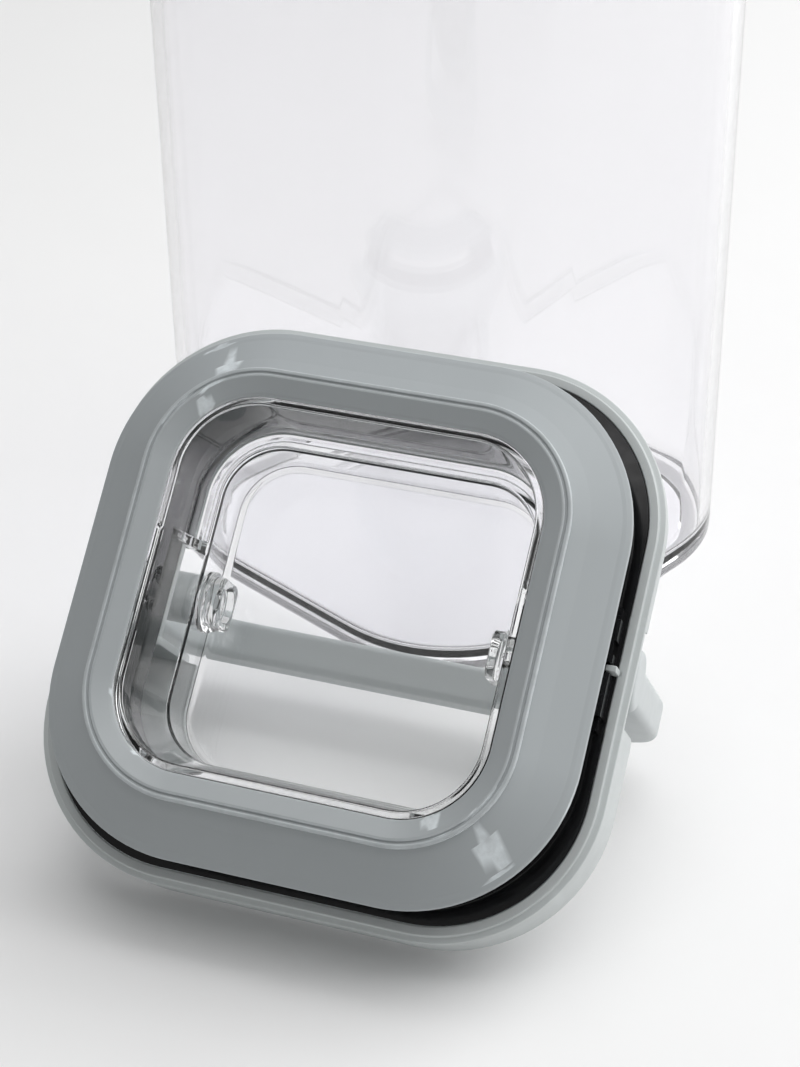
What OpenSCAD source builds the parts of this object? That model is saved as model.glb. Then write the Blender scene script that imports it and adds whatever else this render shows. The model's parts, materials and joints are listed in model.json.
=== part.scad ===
// Square storage canister with a flip-lock lid.
// The jar stands on the table; the lid is off it and leans beside one corner,
// underside towards the front, with its locking bail swung out (unlocked).
// Units: millimetres. Origin: centre of the jar's base, +Z up.

/* [Jar] */
// Outside width of the square jar
jar_w = 106.5; // [105:0.5:108]
// Height of the jar
jar_h = 200; // [120:5:260]
// Thickness of the jar's side walls
jar_wall = 2.4; // [2:0.1:3]
// Thickness of the jar's floor
jar_floor = 4; // [3:0.5:6]
// Inset of the corner centres from the side, for the jar and the inner lid parts
core_off = 20; // [18:1:22]

/* [Lid cap] */
// Outside half width of the cap
cap_a = 55; // [54.5:0.1:55.5]
// Inset of the corner centres for the cap
cap_off = 24; // [22:1:25]
// Half width of the cap's rim on its outside
rim_a = 53.8; // [53.5:0.1:54]
// Half width inside the cap's rim
rim_in = 52; // [51.8:0.1:52.2]
// Height of the rim's edge above the seal's outer edge
rim_z = 8.5; // [8:0.1:8.8]
// Height of the low deck under the folded bail
deck_z = 14.2; // [13.8:0.1:14.4]
// Height of the full-height half of the cap
top_z = 25.5; // [25:0.1:27]
// Thickness of the cap's walls and plates
cap_t = 2; // [1.6:0.1:2]

/* [Locking bail] */
// Outside half width of the clear window moulding at its pane
tub_a = 33; // [32.6:0.1:33]
// Height of the pivot axis above the seal's outer edge, unlocked
piv_z = 16.5; // [16.4:0.1:16.8]
// Near face of the crossbar, from the pivot
bar_near = 34.4; // [34.4:0.1:35]
// Far face of the crossbar, from the pivot
bar_far = 44; // [43:0.1:44]
// Radius of the bail's outer corners
bail_r = 14; // [12:0.5:14]
// Radius of the pivot plugs
pin_r = 3; // [2.5:0.1:3.2]
// Running clearance round the pivot plugs
pin_gap = 0.05; // [0.03:0.01:0.08]
// Lift of the core when the bail is folded flat
lift = 2.2; // [2:0.1:2.2]

/* [Resting place of the lid] */
// Turn of the lid about the vertical
lid_yaw = 25; // [20:1:30]
// Elevation of the underside's normal
lid_tilt = 48; // [46:1:50]
// Distance of the lid's origin from the jar's axis, square to the pivot axis
lid_h = 117.2; // [117.2:0.1:122]
// Sideways shift of the lid along the pivot axis
lid_u = 16.5; // [10:0.5:20]

/* [Hidden] */
$fn = 64;
e = 0.01;
jar_a = jar_w / 2;
// the lowest edge of the leaning cap rests on the table
lid_z = cap_a * cos(lid_tilt) + top_z * sin(lid_tilt);

// rounded square of half width a and corner radius r, exact arcs
module rs2(a, r) {
  square([2 * a, 2 * (a - r)], center = true);
  square([2 * (a - r), 2 * a], center = true);
  for (sx = [-1, 1], sy = [-1, 1]) translate([sx * (a - r), sy * (a - r)]) circle(r = r);
}
// slab of that outline between two heights
module slab(a, r, z0, z1) { translate([0, 0, z0]) linear_extrude(height = z1 - z0) rs2(a, r); }
// inner lid outlines share one set of corner centres
module inner(a, z0, z1) { slab(a, a - core_off, z0, z1); }
// cap outlines share another
module outer(a, z0, z1) { slab(a, a - cap_off, z0, z1); }
// box from corner to corner
module block(p, q) { translate(p) cube([q[0] - p[0], q[1] - p[1], q[2] - p[2]]); }
// cylinder along X
module rodx(r, x0, x1, y = 0, z = 0) { translate([x0, y, z]) rotate([0, 90, 0]) cylinder(r = r, h = x1 - x0); }
// the lid's own frame: X along the pivots, +Y towards the cap's full-height half, +Z to the lid's top
module lid() {
  translate([lid_h * sin(lid_yaw) + lid_u * cos(lid_yaw), -lid_h * cos(lid_yaw) + lid_u * sin(lid_yaw), lid_z])
    rotate([-(90 + lid_tilt), 0, lid_yaw]) children();
}

module jar_body() {
  color([0.86, 0.88, 0.92, 0.35])
  difference() {
    slab(jar_a, jar_a - core_off, 0, jar_h);
    slab(jar_a - jar_wall, jar_a - jar_wall - core_off, jar_floor, jar_h + 1);
  }
}

// outer cap: rim, side wall, low deck with a hollow for the bail's ears, full-height half
module cap_shell() {
  color([0.74, 0.77, 0.78])
  lid() union() {
    difference() {
      union() {
        outer(rim_a, rim_z, rim_z + 1.2);
        outer(cap_a, rim_z + 1.1, deck_z);
        intersection() { outer(cap_a, rim_z + 1.1, top_z); block([-60, 9.5, 0], [60, 60, 40]); }
      }
      // inside of the rim and wall, under the low deck
      difference() {
        outer(rim_in, rim_z - 1, deck_z - cap_t);
        // floor under the ears, closed to the deck and to the full-height half
        for (s = [-1, 1]) block([s > 0 ? 36.6 : -54, -11, 9], [s > 0 ? 54 : -36.6, 11.3, 15]);
      }
      // inside of the full-height half
      intersection() { outer(cap_a - cap_t - 0.2, rim_z + 3, top_z - cap_t); block([-60, 11.3, 0], [60, 60, 40]); }
      // hollow for the ears
      for (s = [-1, 1]) block([s > 0 ? 33 : -60, -9, 11], [s > 0 ? 60 : -33, 9.5, 40]);
      // window opening: wide through the low deck, narrow through the top plate
      intersection() { inner(36.6, 5, deck_z + 1); block([-60, -60, 0], [60, 11.4, 40]); }
      inner(tub_a + 0.7, 8, 40);
      intersection() { inner(36, 8, top_z - cap_t); block([-60, 5, 0], [60, 60, 40]); }
    }
    // thin ribs that run in the guide blocks
    for (s = [-1, 1]) block([s > 0 ? 50.3 : -52.4, -0.6, 4.6], [s > 0 ? 52.4 : -50.3, 0.6, 9.1]);
    for (s = [-1, 1]) block([s > 0 ? 51.9 : -53, -0.6, 8.5], [s > 0 ? 53 : -51.9, 0.6, 9.5]);
  }
}

// dark neck that plugs the jar's mouth
module neck_ring() {
  color([0.05, 0.05, 0.055])
  lid() difference() {
    inner(49.8, 3.4, 9);
    inner(36.7, 3, 10);
    // underside is hollowed so that only the rims bear
    difference() { inner(48, 3, 7); inner(38.6, 2, 8); }
  }
}

// dark stepped block on each side of the neck, split round the cap's rib
module guide_block(s) {
  color([0.07, 0.07, 0.075])
  lid() mirror([s < 0 ? 1 : 0, 0, 0]) difference() {
    union() {
      block([49.8, -9, 4], [51.4, 9, 9]);
      block([49.8, -11.5, 6], [50.9, 11.5, 9]);
    }
    block([49.7, -1, 3], [52, 1, 10]);
    block([50.9, -5, 3], [52, -2.4, 7]);
  }
}
module guide_block_left() { guide_block(-1); }
module guide_block_right() { guide_block(1); }

// flexible conical skirt with a thin free edge
module seal_skirt() {
  color([0.66, 0.69, 0.70])
  lid() difference() {
    hull() { inner(51, -0.2, 0.8, $fn = 32); inner(40.8, -8, -7.9, $fn = 32); }
    hull() { inner(50.2, 1.1, 2, $fn = 32); inner(40, -6.5, -6.4, $fn = 32); }
    inner(38.6, -9, 1);
  }
}

// lower clamping plate: bead round the outside, funnel band inside
module lower_plate() {
  color([0.60, 0.64, 0.65])
  lid() difference() {
    union() { inner(41.3, -8.9, -8); inner(38.5, -8.1, -6.5); }
    hull() { inner(39.3, -9.2, -8.9, $fn = 32); inner(36, -7.3, -7.2, $fn = 32); }
    inner(36, -8, -6);
  }
}

// clear window moulding: straight wall with a ledge in the low half,
// drafted wall in the high half, pane across the top, a bore at each pivot
module window_tub() {
  color([0.9, 0.92, 0.94, 0.35])
  lid() difference() {
    union() {
      hull() { inner(36, -7.2, -2, $fn = 32); inner(tub_a, 11.4, 11.5, $fn = 32); }
      inner(tub_a, 11.4, 24.6);
      intersection() { inner(36, -7.2, 11.8); block([-60, -60, -20], [60, -8, 40]); }
      difference() { inner(39.8, -6.5, -5.2); inner(35.9, -7, -5); }
    }
    hull() { inner(34.3, -7.3, -2, $fn = 32); inner(tub_a - 1.8, 11.4, 11.5, $fn = 32); }
    inner(tub_a - 1.8, 11.4, 22.6);
    intersection() { inner(34.3, -8, 10); block([-60, -60, -20], [60, -9.8, 40]); }
    for (s = [-1, 1]) rodx(pin_r, s > 0 ? 28 : -35, s > 0 ? 35 : -28, 0, piv_z);
  }
}

// clear pivot plug: shaft out through the tub's wall, stepped head inside
module pivot_plug(s) {
  color([0.92, 0.94, 0.96, 0.4])
  lid() mirror([s < 0 ? 1 : 0, 0, 0]) union() {
    rodx(pin_r, 28.5, 50.5, 0, piv_z);
    rodx(6, 29.7, tub_a - 1.8, 0, piv_z);
    difference() {
      translate([26.8, 0, piv_z]) rotate([0, 90, 0]) linear_extrude(height = 3) rs2(4.7, 1.8);
      rodx(3.4, 26, 28.4, 0, piv_z);
    }
  }
}
module pivot_plug_left() { pivot_plug(-1); }
module pivot_plug_right() { pivot_plug(1); }

// U-shaped locking bail with a cam-shaped ear and a hub at each end
module locking_bail() {
  color([0.72, 0.75, 0.76])
  lid() translate([0, 0, piv_z]) difference() {
    union() {
      // flat U, swung up: profile in X and Z, thickness along Y
      rotate([90, 0, 0]) translate([0, 0, -4.4]) linear_extrude(height = 8.2) difference() {
        union() {
          translate([-cap_a, 0]) square([2 * cap_a, bar_far - bail_r]);
          translate([-cap_a + bail_r, 0]) square([2 * (cap_a - bail_r), bar_far]);
          for (s = [-1, 1]) translate([s * (cap_a - bail_r), bar_far - bail_r]) circle(r = bail_r);
        }
        translate([-44, -1]) square([88, bar_near - 10 + 1]);
        translate([-34, -1]) square([68, bar_near + 1]);
        for (s = [-1, 1]) translate([s * 34, bar_near - 10]) circle(r = 10);
      }
      for (s = [-1, 1]) {
        rodx(5.2, s > 0 ? 44 : -cap_a, s > 0 ? cap_a : -44);
        rodx(5.2, s > 0 ? 44 : -cap_a, s > 0 ? cap_a : -44, -1.4, 0);
        rodx(5, s > 0 ? 33.4 : -44.5, s > 0 ? 44.5 : -33.4);
      }
    }
    for (s = [-1, 1]) rodx(pin_r + pin_gap, s > 0 ? 33 : -51, s > 0 ? 51 : -33);
  }
}

jar_body();
cap_shell();
neck_ring();
guide_block_left();
guide_block_right();
seal_skirt();
lower_plate();
window_tub();
pivot_plug_left();
pivot_plug_right();
locking_bail();
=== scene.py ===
import json
import math

import bmesh
import bpy
from mathutils import Matrix, Vector


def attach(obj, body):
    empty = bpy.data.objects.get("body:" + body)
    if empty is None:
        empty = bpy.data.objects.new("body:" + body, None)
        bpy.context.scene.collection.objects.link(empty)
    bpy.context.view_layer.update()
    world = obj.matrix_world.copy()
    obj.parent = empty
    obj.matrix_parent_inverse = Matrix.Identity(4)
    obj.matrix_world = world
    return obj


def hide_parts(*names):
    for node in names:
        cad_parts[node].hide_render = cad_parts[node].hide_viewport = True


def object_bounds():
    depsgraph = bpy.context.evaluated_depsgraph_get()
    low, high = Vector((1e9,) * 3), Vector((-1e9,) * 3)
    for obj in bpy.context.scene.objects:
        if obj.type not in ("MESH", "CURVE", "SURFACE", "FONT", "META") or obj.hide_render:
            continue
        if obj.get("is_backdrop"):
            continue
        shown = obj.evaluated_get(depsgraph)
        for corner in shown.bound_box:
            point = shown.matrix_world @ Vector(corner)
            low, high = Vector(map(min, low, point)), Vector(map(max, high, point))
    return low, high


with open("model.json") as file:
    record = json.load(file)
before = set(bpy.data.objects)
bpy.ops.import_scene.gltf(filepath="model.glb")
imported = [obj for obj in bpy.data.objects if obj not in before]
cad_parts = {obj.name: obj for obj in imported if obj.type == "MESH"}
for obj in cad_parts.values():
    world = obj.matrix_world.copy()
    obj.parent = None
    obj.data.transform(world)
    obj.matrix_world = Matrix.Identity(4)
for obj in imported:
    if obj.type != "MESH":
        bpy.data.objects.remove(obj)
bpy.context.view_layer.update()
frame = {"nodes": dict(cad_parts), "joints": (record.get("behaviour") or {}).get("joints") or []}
nodes = frame["nodes"]

# ---------------------------------------------------------------- the lid's own frame, in millimetres
J = {j["name"]: j for j in frame["joints"]}
EX = Vector(J["bail_flip"]["axis"]).normalized()
EZ = Vector(J["core_slide"]["axis"]).normalized()
EY = EZ.cross(EX).normalized()
PIV = 16.5
ORG = Vector(J["bail_flip"]["pos_m"]) - EZ * (PIV * 0.001)
LID = Matrix((
    (EX.x * 0.001, EY.x * 0.001, EZ.x * 0.001, ORG.x),
    (EX.y * 0.001, EY.y * 0.001, EZ.y * 0.001, ORG.y),
    (EX.z * 0.001, EY.z * 0.001, EZ.z * 0.001, ORG.z),
    (0, 0, 0, 1)))
JAR = Matrix.Scale(0.001, 4)


# ---------------------------------------------------------------- mesh helpers
def arc(p, q, s, r, n):
    """Corner q between p and s rounded to radius r, as n + 1 points of (a, z, off)."""
    if r <= 0 or n < 1:
        return [q]
    v1 = Vector((p[0] - q[0], p[1] - q[1]))
    v2 = Vector((s[0] - q[0], s[1] - q[1]))
    l1, l2 = v1.length, v2.length
    if l1 < 1e-6 or l2 < 1e-6:
        return [q] * (n + 1)
    v1 /= l1
    v2 /= l2
    c = max(-1.0, min(1.0, v1.dot(v2)))
    half = math.acos(c) / 2
    if half > math.pi / 2 - 0.01:
        t = min(l1, l2) * 0.2
    else:
        t = min(r / math.tan(half), 0.46 * l1, 0.46 * l2)
    w = math.sin(half)
    a = Vector((q[0] + v1.x * t, q[1] + v1.y * t))
    b = Vector((q[0] + v2.x * t, q[1] + v2.y * t))
    m = Vector((q[0], q[1]))
    out = []
    for i in range(n + 1):
        k = i / n
        d = (1 - k) ** 2 + 2 * k * (1 - k) * w + k * k
        e = (a * (1 - k) ** 2 + m * (2 * k * (1 - k) * w) + b * k * k) / d
        out.append((e.x, e.y, q[2]))
    return out


def rounded(points, closed=True):
    """points: (a, z, radius, segments, off). Gives the rounded outline as (a, z, off)."""
    core = [(p[0], p[1], p[4]) for p in points]
    n = len(points)
    out = []
    for i, p in enumerate(points):
        if not closed and i in (0, n - 1):
            out.append(core[i])
            continue
        out += arc(core[i - 1], core[i], core[(i + 1) % n], p[2], p[3])
    return out


def stations(ys, seg):
    """Round a rounded square, counter-clockwise: ('x', +1 or -1, y) on the two sides, ('c', corner, angle) on the corners."""
    s = [("x", 1, y) for y in ys]
    for k in (0, 1):
        s += [("c", k, math.pi / 2 * (k + i / seg)) for i in range(seg + 1)]
    s += [("x", -1, y) for y in reversed(ys)]
    for k in (2, 3):
        s += [("c", k, math.pi / 2 * (k + i / seg)) for i in range(seg + 1)]
    return s


CORNER = ((1, 1), (-1, 1), (-1, -1), (1, -1))


def place(st, a, off):
    if st[0] == "x":
        return st[1] * a, st[2]
    sx, sy = CORNER[st[1]]
    return sx * off + (a - off) * math.cos(st[2]), sy * off + (a - off) * math.sin(st[2])


def y_of(st, off=24):
    if st[0] == "x":
        return st[2]
    return 30.0 if st[1] in (0, 1) else -30.0


def build(name, verts, faces, matrix, mat, flat=False):
    bm = bmesh.new()
    vs = [bm.verts.new(v) for v in verts]
    for f in faces:
        ids = []
        for i in f:
            if i not in ids:
                ids.append(i)
        if len(ids) > 2:
            bm.faces.new([vs[i] for i in ids])
    bmesh.ops.remove_doubles(bm, verts=bm.verts, dist=1e-4)
    bmesh.ops.dissolve_degenerate(bm, edges=bm.edges, dist=1e-5)
    bmesh.ops.recalc_face_normals(bm, faces=bm.faces)
    bm.transform(matrix)
    me = bpy.data.meshes.new(name)
    bm.to_mesh(me)
    bm.free()
    for p in me.polygons:
        p.use_smooth = not flat
    ob = bpy.data.objects.new(name, me)
    bpy.context.scene.collection.objects.link(ob)
    if mat is not None:
        me.materials.append(mat)
    return ob


def loft(profile_at, sts, closed=True):
    """Sweeps the outline that profile_at gives for each station. An open outline is closed by a flat face at each end."""
    verts, faces = [], []
    rows = []
    for st in sts:
        pr = profile_at(st)
        row = []
        for a, z, off in pr:
            x, y = place(st, a, off)
            row.append(len(verts))
            verts.append((x, y, z))
        rows.append(row)
    m = len(rows[0])
    n = len(rows)
    last = m if closed else m - 1
    for i in range(n):
        r, q = rows[i], rows[(i + 1) % n]
        for j in range(last):
            k = (j + 1) % m
            faces.append((r[j], q[j], q[k], r[k]))
    if not closed:
        faces.append(tuple(reversed([r[0] for r in rows])))
        faces.append(tuple(r[-1] for r in rows))
    return verts, faces


def shift(faces, k):
    return [tuple(i + k for i in f) for f in faces]


def merge(*parts):
    v, f = [], []
    for pv, pf in parts:
        f += shift(pf, len(v))
        v += pv
    return v, f


def spin_x(profile, n=72, square=None):
    """Turned shape about the X axis: profile points (radius, x, squareness). Poles at radius 0."""
    verts, faces, rows = [], [], []
    for r, x, sq in profile:
        if r <= 1e-6:
            rows.append([len(verts)])
            verts.append((x, 0, 0))
            continue
        row = []
        for i in range(n):
            t = 2 * math.pi * i / n
            rad = r
            if sq:
                c, s = abs(math.cos(t)), abs(math.sin(t))
                rc = sq  # corner radius of the rounded square
                k = r - rc
                big = max(c, s)
                small = min(c, s)
                if r * small / big <= k:
                    rad = r / big
                else:
                    b = k * (c + s)
                    rad = b + math.sqrt(max(0.0, b * b - (2 * k * k - rc * rc)))
            row.append(len(verts))
            verts.append((x, rad * math.cos(t), rad * math.sin(t)))
        rows.append(row)
    for a, b in zip(rows, rows[1:]):
        for i in range(n):
            k = (i + 1) % n
            if len(a) == 1 and len(b) == 1:
                continue
            if len(a) == 1:
                faces.append((a[0], b[i], b[k]))
            elif len(b) == 1:
                faces.append((a[i], b[0], a[k]))
            else:
                faces.append((a[i], b[i], b[k], a[k]))
    return verts, faces


def turned(points):
    """points: (radius, x, fillet, segments, squareness) from pole to pole."""
    out = []
    core = [(p[0], p[1], p[4]) for p in points]
    for i, p in enumerate(points):
        if i in (0, len(points) - 1):
            out.append(core[i])
        else:
            out += arc(core[i - 1], core[i], core[i + 1], p[2], p[3])
    return out


def moved(part, dx=0.0, dy=0.0, dz=0.0, mirror=False):
    v, f = part
    v = [((-x if mirror else x) + dx, y + dy, z + dz) for x, y, z in v]
    if mirror:
        f = [tuple(reversed(t)) for t in f]
    return v, f


def rbox(lo, hi, r, seg=3):
    """Box with rounded edges, as a superposed grid of a rounded cube."""
    cx = [(lo[i] + hi[i]) / 2 for i in range(3)]
    hs = [(hi[i] - lo[i]) / 2 for i in range(3)]
    r = min(r, *[h * 0.98 for h in hs])
    verts, faces, rows = [], [], []
    # rows of latitude, each a rounded rectangle
    lat = [(-math.pi / 2 + math.pi / 2 * i / seg, -1) for i in range(seg + 1)]
    lat += [(math.pi / 2 * i / seg, 1) for i in range(seg + 1)]
    for phi, sz in lat:
        z = sz * (hs[2] - r) + r * math.sin(phi)
        rr = r * math.cos(phi)
        row = []
        for k, (sx, sy) in enumerate(CORNER):
            for i in range(seg + 1):
                t = math.pi / 2 * (k + i / seg)
                row.append(len(verts))
                verts.append((cx[0] + sx * (hs[0] - r) + rr * math.cos(t),
                              cx[1] + sy * (hs[1] - r) + rr * math.sin(t),
                              cx[2] + z))
        rows.append(row)
    m = len(rows[0])
    for a, b in zip(rows, rows[1:]):
        for j in range(m):
            k = (j + 1) % m
            faces.append((a[j], a[k], b[k], b[j]))
    faces.append(tuple(reversed(rows[0])))
    faces.append(tuple(rows[-1]))
    return verts, faces


def weighted(ob):
    m = ob.modifiers.new("normals", "WEIGHTED_NORMAL")
    m.mode = "FACE_AREA"
    m.weight = 50
    m.keep_sharp = True
    return ob


# ---------------------------------------------------------------- materials
def nodes_of(mat):
    mat.use_nodes = True
    nt = mat.node_tree
    nt.nodes.clear()
    out = nt.nodes.new("ShaderNodeOutputMaterial")
    b = nt.nodes.new("ShaderNodeBsdfPrincipled")
    nt.links.new(b.outputs["BSDF"], out.inputs["Surface"])
    return nt, b


def noise(nt, scale, detail=2.0, rough=0.5, stretch=None):
    tc = nt.nodes.new("ShaderNodeTexCoord")
    src = tc.outputs["Object"]
    if stretch:
        mp = nt.nodes.new("ShaderNodeMapping")
        mp.inputs["Scale"].default_value = stretch
        nt.links.new(src, mp.inputs["Vector"])
        src = mp.outputs["Vector"]
    n = nt.nodes.new("ShaderNodeTexNoise")
    n.inputs["Scale"].default_value = scale
    n.inputs["Detail"].default_value = detail
    n.inputs["Roughness"].default_value = rough
    nt.links.new(src, n.inputs["Vector"])
    return n.outputs["Fac"]


def spread(nt, fac, lo, hi, a=0.3, b=0.7):
    m = nt.nodes.new("ShaderNodeMapRange")
    m.inputs["From Min"].default_value = a
    m.inputs["From Max"].default_value = b
    m.inputs["To Min"].default_value = lo
    m.inputs["To Max"].default_value = hi
    nt.links.new(fac, m.inputs["Value"])
    return m.outputs["Result"]


def moulded(name, col, rough, vary=0.05, grain=1500.0, grain_h=0.02, wear_and_highlight=1.12, specular=0.5, coat=0.0, mottle=0.03, edges=(0.53, 0.62)):
    """Moulded plastic: fine grain, slow roughness drift, faint mottling, lighter edges that stand for rubbed wear and,
    where the lightening is strong, a painted highlight along lips and beads.
    """
    mat = bpy.data.materials.new(name)
    nt, b = nodes_of(mat)
    big = noise(nt, 42.0, 3.0)
    mid = noise(nt, 260.0, 4.0, 0.6)
    fine = noise(nt, grain, 2.0, 0.6)
    mix = nt.nodes.new("ShaderNodeMix")
    mix.data_type = "RGBA"
    mix.inputs[6].default_value = (*[c * (1 - mottle) for c in col], 1)
    mix.inputs[7].default_value = (*[min(1.0, c * (1 + mottle)) for c in col], 1)
    nt.links.new(big, mix.inputs[0])
    geo = nt.nodes.new("ShaderNodeNewGeometry")
    edge = spread(nt, geo.outputs["Pointiness"], 0.0, 1.0, *edges)
    brk = nt.nodes.new("ShaderNodeMath")
    brk.operation = "MULTIPLY"
    nt.links.new(edge, brk.inputs[0])
    nt.links.new(spread(nt, mid, 0.45, 1.0, 0.35, 0.6), brk.inputs[1])
    # Edges lightened by pointiness: rubbed wear, and on the seal and plate a painted highlight along the lip and bead
    # edges.
    rub_and_highlight = nt.nodes.new("ShaderNodeMix")
    rub_and_highlight.data_type = "RGBA"
    nt.links.new(brk.outputs[0], rub_and_highlight.inputs[0])
    nt.links.new(mix.outputs[2], rub_and_highlight.inputs[6])
    rub_and_highlight.inputs[7].default_value = (*[min(1.0, c * wear_and_highlight) for c in col], 1)
    nt.links.new(rub_and_highlight.outputs[2], b.inputs["Base Color"])
    nt.links.new(spread(nt, mid, rough - vary, rough + vary), b.inputs["Roughness"])
    bump = nt.nodes.new("ShaderNodeBump")
    bump.inputs["Strength"].default_value = 0.35
    bump.inputs["Distance"].default_value = grain_h * 0.001
    nt.links.new(fine, bump.inputs["Height"])
    nt.links.new(bump.outputs["Normal"], b.inputs["Normal"])
    b.inputs["Specular IOR Level"].default_value = specular
    b.inputs["Coat Weight"].default_value = coat
    b.inputs["Coat Roughness"].default_value = 0.12
    return mat


def clear(name, col, rough=0.015, ior=1.49, ripple=0.004, tone=0.02, shade=(0.95, 0.95, 0.955)):
    """Polished clear plastic: very slight ripple and polish variation, faint tint drift."""
    mat = bpy.data.materials.new(name)
    nt, b = nodes_of(mat)
    big = noise(nt, 18.0, 2.0)
    mid = noise(nt, 90.0, 2.0)
    mix = nt.nodes.new("ShaderNodeMix")
    mix.data_type = "RGBA"
    mix.inputs[6].default_value = (*[c * (1 - tone) for c in col], 1)
    mix.inputs[7].default_value = (*col, 1)
    nt.links.new(big, mix.inputs[0])
    nt.links.new(mix.outputs[2], b.inputs["Base Color"])
    nt.links.new(spread(nt, mid, rough * 0.5, rough * 1.6), b.inputs["Roughness"])
    bump = nt.nodes.new("ShaderNodeBump")
    bump.inputs["Strength"].default_value = 0.1
    bump.inputs["Distance"].default_value = ripple * 0.001
    nt.links.new(mid, bump.inputs["Height"])
    nt.links.new(bump.outputs["Normal"], b.inputs["Normal"])
    b.inputs["Transmission Weight"].default_value = 1.0
    b.inputs["IOR"].default_value = ior
    # lamps shine through it onto what is behind
    out = next(n for n in nt.nodes if n.type == "OUTPUT_MATERIAL")
    lp = nt.nodes.new("ShaderNodeLightPath")
    tr = nt.nodes.new("ShaderNodeBsdfTransparent")
    tr.inputs["Color"].default_value = (*shade, 1)
    ms = nt.nodes.new("ShaderNodeMixShader")
    nt.links.new(lp.outputs["Is Shadow Ray"], ms.inputs["Fac"])
    nt.links.new(b.outputs["BSDF"], ms.inputs[1])
    nt.links.new(tr.outputs["BSDF"], ms.inputs[2])
    nt.links.new(ms.outputs["Shader"], out.inputs["Surface"])
    return mat


M_JAR = clear("jar_clear", (0.975, 0.972, 0.985), rough=0.012, ior=1.5, shade=(0.93, 0.93, 0.94))
M_TUB = clear("lid_clear", (0.985, 0.99, 0.99), rough=0.02, ior=1.49)
M_CAP = moulded("cap_grey", (0.50, 0.53, 0.53), 0.38, grain=1700.0, specular=0.45)
M_BAIL = moulded("bail_grey", (0.50, 0.53, 0.535), 0.42, grain=1700.0)
# Seal and plate: strong, narrow edge lightening paints highlight lines along the skirt lip and the bead.
M_SEAL = moulded("seal_grey", (0.36, 0.385, 0.395), 0.60, vary=0.04, grain=2300.0, grain_h=0.012, wear_and_highlight=1.9, specular=0.22, mottle=0.02, edges=(0.51, 0.56))
M_PLATE = moulded("plate_grey", (0.36, 0.385, 0.395), 0.38, grain=1900.0, wear_and_highlight=1.9, edges=(0.51, 0.56))
M_NECK = moulded("neck_black", (0.004, 0.004, 0.0045), 0.12, vary=0.04, grain=1200.0, grain_h=0.004, wear_and_highlight=2.5, specular=0.35, mottle=0.1)


# ---------------------------------------------------------------- jar
def jar_profile(st):
    return rounded([
        (24, 0.7, 0, 0, 20), (45.5, 0.7, 0.6, 3, 20), (46.6, 0, 0.6, 3, 20), (53.25, 0, 1.6, 7, 20),
        (53.25, 100, 0, 0, 20), (53.25, 200, 1.1, 4, 20), (50.85, 200, 1.1, 4, 20),
        (50.85, 100, 0, 0, 20), (50.85, 4, 2.4, 7, 20), (24, 4, 0, 0, 20)], closed=False)


sq = stations([0.0], 20)
v, f = loft(jar_profile, sq, closed=False)
jar = weighted(build("jar_shell", v, f, JAR, M_JAR))
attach(jar, "jar")
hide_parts("jar_body")


# ---------------------------------------------------------------- seal skirt: conical, with a thin free lip
def cone(a):
    return -0.2 - (51.0 - a) * 7.8 / 10.2


def skirt_profile(st):
    return rounded([
        (38.6, -6.45, 0, 0, 20), (38.6, -7.95, 0, 0, 20), (40.9, -7.98, 0.3, 3, 20),
        (44.2, cone(44.2) + 0.16, 4.0, 4, 20), (49.3, cone(49.3) + 0.02, 1.0, 3, 20), (50.0, cone(50.0) - 0.14, 0.35, 3, 20),
        (51.0, -0.42, 0.32, 4, 20), (51.0, 0.8, 0.25, 3, 20), (49.85, 0.8, 0.2, 2, 20),
        (40.0, -6.45, 0.3, 2, 20)])


v, f = loft(skirt_profile, stations([0.0], 24))
skirt = weighted(build("seal_cone", v, f, LID, M_SEAL))
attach(skirt, "core")
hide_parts("seal_skirt")


# ---------------------------------------------------------------- lower plate: bead, groove and funnel band
def plate_profile(st):
    return rounded([
        (38.5, -6.5, 0, 0, 20), (36.0, -6.5, 0, 0, 20), (36.0, -7.22, 0.15, 2, 20), (36.7, -7.62, 0.2, 2, 20),
        (38.9, -8.62, 0.3, 3, 20), (39.5, -8.9, 0.25, 3, 20), (39.95, -8.9, 0.15, 2, 20), (40.15, -8.55, 0.12, 2, 20),
        (40.4, -8.55, 0.12, 2, 20), (40.6, -8.9, 0.2, 2, 20), (41.3, -8.85, 0.35, 4, 20), (41.3, -8.0, 0.1, 1, 20),
        (38.5, -8.0, 0, 0, 20)])


v, f = loft(plate_profile, stations([0.0], 24))
plate = weighted(build("clamp_plate", v, f, LID, M_PLATE))
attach(plate, "core")
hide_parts("lower_plate")


# ---------------------------------------------------------------- black neck
def neck_profile(st):
    return rounded([
        (49.8, 3.4, 0.45, 4, 20), (49.8, 8.62, 0.25, 2, 20), (51.9, 8.62, 0.05, 1, 24), (51.9, 8.98, 0, 0, 24), (36.7, 9.0, 0.2, 2, 20), (36.7, 3.4, 0.3, 3, 20),
        (38.6, 3.4, 0.3, 3, 20), (38.6, 7.0, 0.4, 3, 20), (48.0, 7.0, 0.4, 3, 20), (48.0, 3.4, 0.45, 4, 20)])


v, f = loft(neck_profile, stations([0.0], 24))
neck = weighted(build("neck_plug", v, f, LID, M_NECK))
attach(neck, "cap")
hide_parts("neck_ring")


# ---------------------------------------------------------------- cap: rim, wall, low deck, ear hollows and the full-height half
def step_line(points, n):
    """Rounded side view (y, z) of the cap's top or underside, running towards +y."""
    pts = [(y, z, r, n if r > 0 else 0, 0) for y, z, r in points]
    return [(p[0], p[1]) for p in rounded(pts, closed=False)]


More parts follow.
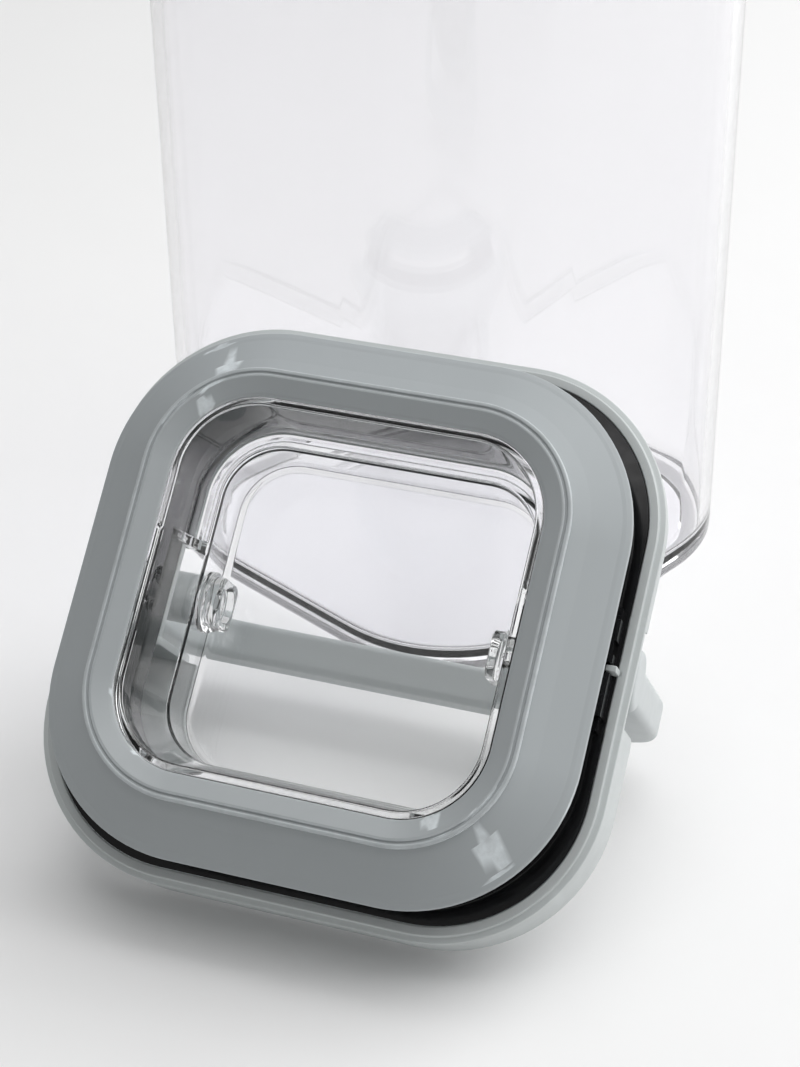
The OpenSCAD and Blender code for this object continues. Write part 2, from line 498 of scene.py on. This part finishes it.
TOP = step_line([(-19.5, 14.2, 0), (-9.02, 14.2, 0.7), (-8.98, 11.0, 0.5), (9.48, 11.0, 0.5), (9.52, 25.5, 1.6), (19.5, 25.5, 0)], 4)
UND = step_line([(-19.5, 12.2, 0), (-11.02, 12.2, 0.4), (-10.98, 9.0, 0.4), (11.28, 9.0, 0.4), (11.32, 23.5, 0.6), (19.5, 23.5, 0)], 3)
OPN = [(-19.5, 36.6), (9.5, 36.6), (9.7, 36.0), (11.28, 36.0), (11.4, 33.7), (19.5, 33.7)]


def along(line, y):
    if y <= line[0][0]:
        return line[0][1]
    for (y0, z0), (y1, z1) in zip(line, line[1:]):
        if y <= y1:
            return z0 if y1 - y0 < 1e-9 else z0 + (z1 - z0) * (y - y0) / (y1 - y0)
    return line[-1][1]


def cap_profile(st):
    y = y_of(st)
    zt, zu, ao = along(TOP, y), along(UND, y), along(OPN, y)
    rt = max(0.35, min(4.6, 0.34 * (zt - 9.7)))
    full = zu > 20
    ri = 52.8 if full else 52.0
    zb = 10.2 if zu < 10.3 else 11.2
    zb = min(zb, zu)
    return rounded([
        (52.0, 8.5, 0.28, 3, 24), (53.8, 8.5, 0.28, 3, 24), (53.8, 9.45, 0.3, 3, 24), (55.0, 9.75, 0.3, 3, 24),
        (55.0, zt, rt, 8, 24), (ao, zt, 0.5, 4, 20), (ao, zt - 2.0 if not (9.6 < y < 11.4) else zt - 2.0, 0.3, 2, 20),
        (ao + 0.1, zu, 0.0, 0, 20), (ri, zu, min(1.2, rt), 4, 24)])


ys = sorted(set([round(p[0], 4) for p in TOP + UND] + [p[0] for p in OPN] + [-19.4, -15.0, 0.0, 15.0, 19.4]))
cap_sts = stations(ys, 24)
cap_part = loft(cap_profile, cap_sts)
ribs = []
for s in (1, -1):
    lo = (50.3, -0.6, 4.6) if s > 0 else (-52.4, -0.6, 4.6)
    hi = (52.4, 0.6, 9.1) if s > 0 else (-50.3, 0.6, 9.1)
    ribs.append(rbox(lo, hi, 0.22))
    lo = (51.9, -0.6, 8.5) if s > 0 else (-53.0, -0.6, 8.5)
    hi = (53.0, 0.6, 9.5) if s > 0 else (-51.9, 0.6, 9.5)
    ribs.append(rbox(lo, hi, 0.15))
v, f = merge(cap_part, *ribs)
cap = weighted(build("cap_moulding", v, f, LID, M_CAP))
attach(cap, "cap")
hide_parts("cap_shell")


# ---------------------------------------------------------------- clear window moulding
def tub_profile(st):
    y = y_of(st)
    low = 1.0 if y < -8.6 else (0.0 if y > -8.0 else (-8.0 - y) / 0.6)
    lin = 1.0 if y < -10.4 else (0.0 if y > -9.8 else (-9.8 - y) / 0.6)
    zo = -2.0 + 13.8 * low
    zi = -2.0 + 12.0 * lin
    ro = 0.7 if low > 0.5 else 1.5
    return rounded([
        (24, 22.6, 0, 0, 20), (31.2, 22.6, 1.3, 5, 20), (31.2, 11.5, 1.0, 3, 20), (31.5, 10.0, 0.5, 3, 20),
        (34.3, zi, 0.8, 4, 20), (34.3, -7.2, 0.55, 4, 20), (36.0, -7.2, 0.5, 4, 20),
        (36.0, -6.5, 0, 0, 20), (39.8, -6.5, 0, 0, 20), (39.8, -5.2, 0, 0, 20), (36.0, -5.2, 0, 0, 20),
        (36.0, zo, ro, 4, 20), (33.05, 11.8, 0.4, 3, 20), (33.0, 12.6, 0, 0, 20), (33.0, 24.6, 1.0, 5, 20), (24, 24.6, 0, 0, 20)], closed=False)


tub_ys = [-19.0, -12.0, -10.5, -10.4, -10.1, -9.8, -9.7, -8.7, -8.6, -8.3, -8.0, -7.9, -4.0, 0.0, 10.0, 19.0]
v, f = loft(tub_profile, stations(tub_ys, 24), closed=False)
tub = weighted(build("window_moulding", v, f, LID, M_TUB))
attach(tub, "core")
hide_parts("window_tub")

# ---------------------------------------------------------------- clear pivot plugs
plug = spin_x(turned([
    (0, 28.4, 0, 0, 0), (3.2, 28.4, 0.4, 3, 0), (3.5, 26.8, 0.3, 4, 0), (4.7, 26.8, 0.55, 5, 1.8), (4.7, 29.3, 0.5, 3, 1.8),
    (6.0, 29.75, 0.3, 4, 0), (6.0, 31.15, 0.25, 4, 0), (3.0, 31.18, 0.1, 2, 0),
    (3.0, 50.5, 0.5, 4, 0), (0, 50.5, 0, 0, 0)]))
for side, mir in (("right", False), ("left", True)):
    v, f = moved(plug, dz=PIV, mirror=mir)
    ob = weighted(build("plug_" + side, v, f, LID, M_TUB))
    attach(ob, "core")
    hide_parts("pivot_plug_" + side)

# ---------------------------------------------------------------- guide blocks keep their CAD shape, edges eased
for side in ("left", "right"):
    ob = nodes["guide_block_" + side]
    ob.data.materials.clear()
    ob.data.materials.append(M_NECK)
    m = ob.modifiers.new("edge", "BEVEL")
    m.width = 0.00018
    m.segments = 3
    m.limit_method = "ANGLE"
    m.angle_limit = math.radians(40)


# ---------------------------------------------------------------- locking bail
def bail_parts():
    far, near, oa, ia, ro, ri = 44.0, 34.4, 55.0, 44.0, 14.0, 10.0
    outer, inner = [], []
    n = 16
    for k in range(5):
        outer.append((oa, (far - ro) * k / 4))
        inner.append((ia, (near - ri) * k / 4))
    for k in range(1, n + 1):
        t = math.pi / 2 * k / n
        outer.append((oa - ro + ro * math.cos(t), far - ro + ro * math.sin(t)))
        inner.append((ia - ri + ri * math.cos(t), near - ri + ri * math.sin(t)))
    outer += [(x, far) for x in (20.0, 0.0)]
    inner += [(x, near) for x in (17.0, 0.0)]
    outer += [(-x, z) for x, z in reversed(outer[:-1])]
    inner += [(-x, z) for x, z in reversed(inner[:-1])]
    verts, faces, rows = [], [], []
    y0, y1 = -3.8, 4.4
    for (ox, oz), (ix, iz) in zip(outer, inner):
        w = math.hypot(ox - ix, oz - iz)
        sect = rounded([(0, y0, 1.3, 4, 0), (w, y0, 1.3, 4, 0), (w, y1, 1.5, 4, 0), (0, y1, 1.5, 4, 0)])
        row = []
        for s, y, _ in sect:
            k = s / w
            row.append(len(verts))
            verts.append((ix + (ox - ix) * k, y, iz + (oz - iz) * k))
        rows.append(row)
    m = len(rows[0])
    for a, b in zip(rows, rows[1:]):
        for j in range(m):
            k = (j + 1) % m
            faces.append((a[j], b[j], b[k], a[k]))
    faces.append(tuple(reversed(rows[0])))
    faces.append(tuple(rows[-1]))
    parts = [(verts, faces)]
    ear = spin_x(turned([(0, 44.0, 0, 0, 0), (5.2, 44.0, 0.9, 4, 0), (5.2, 55.0, 1.2, 5, 0), (0, 55.0, 0, 0, 0)]), n=64)
    hub = spin_x(turned([(0, 33.4, 0, 0, 0), (5.0, 33.4, 0.5, 4, 0), (5.0, 44.6, 0, 0, 0), (0, 44.6, 0, 0, 0)]), n=64)
    for mir in (False, True):
        parts += [moved(ear, mirror=mir), moved(ear, dy=-0.7, mirror=mir), moved(ear, dy=-1.4, mirror=mir), moved(hub, mirror=mir)]
    return merge(*parts)


v, f = bail_parts()
raw = build("bail_raw", v, f, Matrix.Identity(4), None)
rm = raw.modifiers.new("skin", "REMESH")
rm.mode = "VOXEL"
rm.voxel_size = 0.42
rm.adaptivity = 0.0
sm = raw.modifiers.new("relax", "SMOOTH")
sm.factor = 0.5
sm.iterations = 5
dg = bpy.context.evaluated_depsgraph_get()
me = bpy.data.meshes.new_from_object(raw.evaluated_get(dg))
me.transform(LID @ Matrix.Translation((0, 0, PIV)))
bpy.data.objects.remove(raw)
bail = bpy.data.objects.new("bail_moulding", me)
bpy.context.scene.collection.objects.link(bail)
for p in me.polygons:
    p.use_smooth = True
me.materials.clear()
me.materials.append(M_BAIL)
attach(bail, "bail")
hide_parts("locking_bail")

# ---------------------------------------------------------------- floor and light
floor_mat = bpy.data.materials.new("floor_paper")
nt, b = nodes_of(floor_mat)
mix = nt.nodes.new("ShaderNodeMix")
mix.data_type = "RGBA"
mix.inputs[6].default_value = (0.85, 0.85, 0.85, 1)
mix.inputs[7].default_value = (0.865, 0.865, 0.865, 1)
nt.links.new(noise(nt, 30.0, 4.0), mix.inputs[0])
nt.links.new(mix.outputs[2], b.inputs["Base Color"])
b.inputs["Roughness"].default_value = 0.9
b.inputs["Specular IOR Level"].default_value = 0.1
v = [(-4, -4, 0), (4, -4, 0), (4, 4, 0), (-4, 4, 0)]
floor = build("floor", v, [(0, 1, 2, 3)], Matrix.Identity(4), floor_mat)
floor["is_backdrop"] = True

world = bpy.data.worlds.new("studio")
bpy.context.scene.world = world
world.use_nodes = True
wn = world.node_tree
wn.nodes.clear()
wo = wn.nodes.new("ShaderNodeOutputWorld")
bg = wn.nodes.new("ShaderNodeBackground")
tc = wn.nodes.new("ShaderNodeTexCoord")
sp = wn.nodes.new("ShaderNodeSeparateXYZ")
rp = wn.nodes.new("ShaderNodeMapRange")
rp.inputs["From Min"].default_value = 0.0
rp.inputs["From Max"].default_value = 0.75
rp.inputs["To Min"].default_value = 0.11
rp.inputs["To Max"].default_value = 0.36
wn.links.new(tc.outputs["Generated"], sp.inputs[0])
wn.links.new(sp.outputs["Z"], rp.inputs["Value"])
wn.links.new(rp.outputs["Result"], bg.inputs["Strength"])
bg.inputs["Color"].default_value = (1.0, 1.0, 1.0, 1)
wn.links.new(bg.outputs[0], wo.inputs["Surface"])

AIM = Vector((0.045, -0.06, 0.06))


def area(name, direction, dist, size, power, colour=(1, 1, 1)):
    li = bpy.data.lights.new(name, "AREA")
    li.shape = "RECTANGLE"
    li.size, li.size_y = size
    li.energy = power
    li.color = colour
    ob = bpy.data.objects.new(name, li)
    d = Vector(direction).normalized()
    ob.location = AIM + d * dist
    ob.rotation_mode = "QUATERNION"
    ob.rotation_quaternion = d.to_track_quat("Z", "Y")
    bpy.context.scene.collection.objects.link(ob)
    return ob


# ---------------------------------------------------------------- camera at the photograph's viewing angle
AZ, EL, ROLL = math.radians(44.486), math.radians(33.613), math.radians(-0.85)
back = Vector((math.sin(AZ) * math.cos(EL), -math.cos(AZ) * math.cos(EL), math.sin(EL)))
right = Vector((math.cos(AZ), math.sin(AZ), 0))
up = back.cross(right)
r2 = right * math.cos(ROLL) + up * math.sin(ROLL)
u2 = up * math.cos(ROLL) - right * math.sin(ROLL)
cam_data = bpy.data.cameras.new("camera")
cam_data.lens = 2400.0 / 1067.0 * 36.0
cam_data.sensor_width = 36.0
cam_data.clip_start, cam_data.clip_end = 0.01, 50.0
cam = bpy.data.objects.new("camera", cam_data)
bpy.context.scene.collection.objects.link(cam)
cam.matrix_world = Matrix((
    (r2.x, u2.x, back.x, 0.32456), (r2.y, u2.y, back.y, -0.34695), (r2.z, u2.z, back.z, 0.31118), (0, 0, 0, 1)))
bpy.context.scene.camera = cam
bpy.context.scene.view_settings.view_transform = "Standard"
bpy.context.scene.view_settings.look = "None"

# soft boxes: one broad light from the camera's right and above, one overhead, a weak one from the left
area("key_right", right * 1.0 + up * 0.55 + back * 0.1, 1.1, (1.3, 1.3), 12.5)
area("over", Vector((0, 0, 1)) + right * 0.12, 1.5, (1.4, 1.4), 12.0)
area("fill_left", -right * 1.0 + up * 0.4 + back * 0.5, 1.4, (0.5, 0.5), 0.6)

lo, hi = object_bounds()
